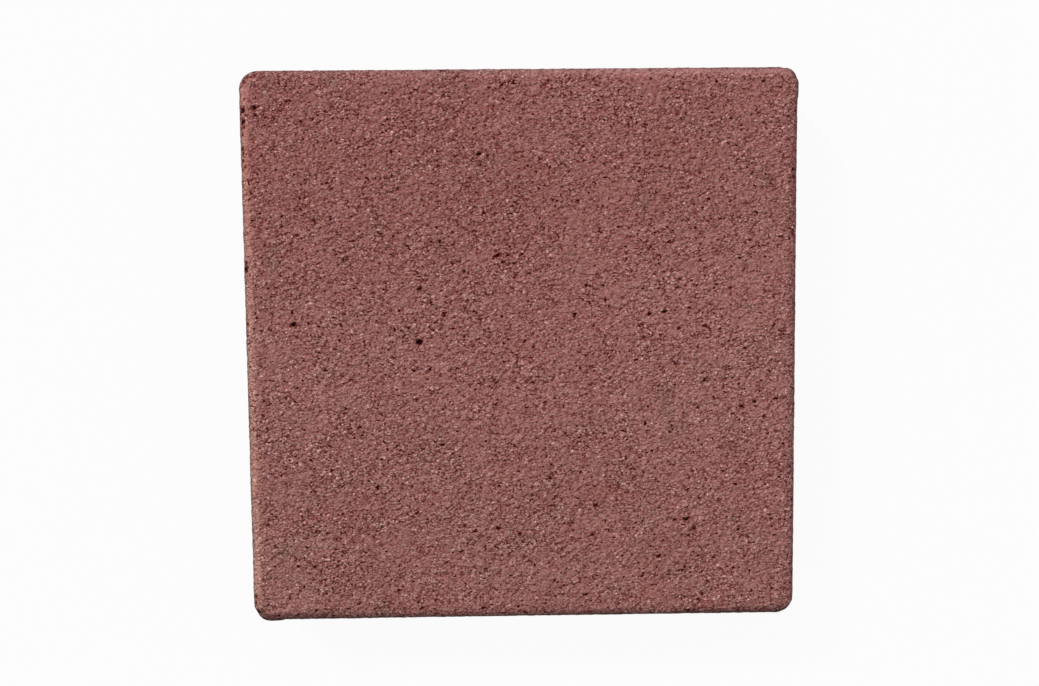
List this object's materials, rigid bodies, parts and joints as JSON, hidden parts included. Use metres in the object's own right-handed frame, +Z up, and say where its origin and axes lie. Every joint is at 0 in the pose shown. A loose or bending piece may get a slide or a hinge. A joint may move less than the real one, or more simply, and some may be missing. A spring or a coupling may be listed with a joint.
{
  "type": "concrete paving stone",
  "caption": "Square concrete paving stone with rounded corners and a rounded upper arris, laid flat to walk on.",
  "frame": {"origin": "middle of the flat bed face that the stone lies on", "axes": "+Z up out of the walking face; +X towards the right of the picture and +Y towards its top, each square to a pair of side walls"},
  "size_m": [0.2986, 0.2986, 0.038],
  "materials": {
    "red_concrete": "matt red-brown pigmented concrete with an open sandy grain"
  },
  "bodies": {
    "root": {"paving_stone": "red_concrete"}
  },
  "joints": []
}
